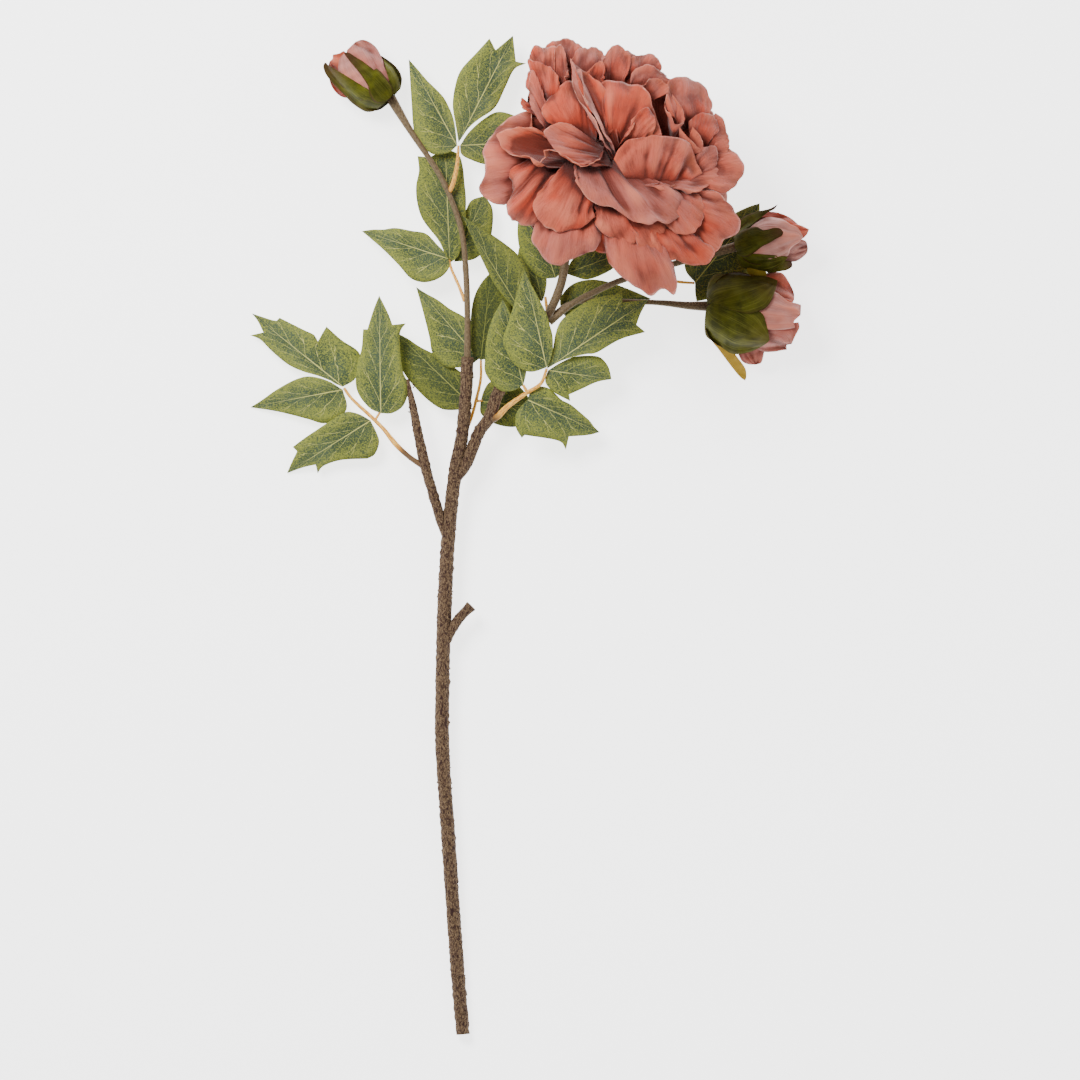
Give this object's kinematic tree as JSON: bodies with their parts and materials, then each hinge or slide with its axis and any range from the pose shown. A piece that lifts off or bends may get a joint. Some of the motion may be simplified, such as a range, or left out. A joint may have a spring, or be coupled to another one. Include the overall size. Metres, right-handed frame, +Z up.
{
  "type": "artificial peony spray",
  "caption": "Artificial peony spray lying flat: a woody forked stem carries one large double bloom, smaller buds on thin stems and compound leaves on slender stalks.",
  "frame": {"origin": "middle of the bounding box in plan, on the surface the spray lies on", "axes": "+Y runs along the stem from its cut end towards the flowers, +X is to the side the large bloom leans to, +Z is up from the surface"},
  "size_m": [0.3806, 0.6806, 0.1494],
  "materials": {
    "bark": "moulded woody bark, dull brown with maroon and beige specks",
    "stem": "smooth satin brown-green coated wire",
    "stalk": "satin yellow-orange",
    "leaf": "printed matte fabric, grey-green with yellow-green mottling and pale veins",
    "sepal": "matte fabric, olive green with brown tips",
    "petal": "matte fabric, dusty pink shaded with salmon and mauve",
    "petal_inner": "matte fabric, warm orange-red"
  },
  "bodies": {
    "root": {"trunk": "bark", "left_bud_stem": "stem", "bloom_stem": "stem", "upper_bud_stem": "stem", "lower_bud_stem": "stem", "stalk_a": "stalk", "stalk_b": "stalk", "stalk_c": "stalk", "stalk_d": "stalk", "stalk_e": "stalk", "stalk_f": "stalk", "stalk_g": "stalk", "stalk_h": "stalk", "leaf_a1": "leaf", "leaf_a2": "leaf", "leaf_a3": "leaf", "leaf_a4": "leaf", "leaf_b1": "leaf", "leaf_b2": "leaf", "leaf_b3": "leaf", "leaf_c1": "leaf", "leaf_c2": "leaf", "leaf_c3": "leaf", "leaf_d": "leaf", "leaf_e1": "leaf", "leaf_e2": "leaf", "leaf_e3": "leaf", "leaf_e4": "leaf", "leaf_e5": "leaf", "leaf_f1": "leaf", "leaf_f2": "leaf", "leaf_f3": "leaf", "leaf_f4": "leaf", "leaf_f5": "leaf", "leaf_g1": "leaf", "leaf_g2": "leaf", "leaf_g3": "leaf", "leaf_g4": "leaf", "leaf_h": "leaf", "bloom_calyx": "sepal", "bloom_layer_1": "petal", "bloom_layer_2": "petal", "bloom_layer_3": "petal", "bloom_layer_4": "petal", "bloom_layer_5": "petal", "bloom_layer_6": "petal", "bloom_layer_7": "petal", "bloom_heart": "petal_inner", "left_bud_calyx": "sepal", "left_bud_petals": "petal", "left_bud_heart": "petal_inner", "upper_bud_calyx": "sepal", "upper_bud_petals": "petal", "upper_bud_heart": "petal_inner", "lower_bud_calyx": "sepal", "lower_bud_petals": "petal", "lower_bud_heart": "petal_inner"}
  },
  "joints": []
}
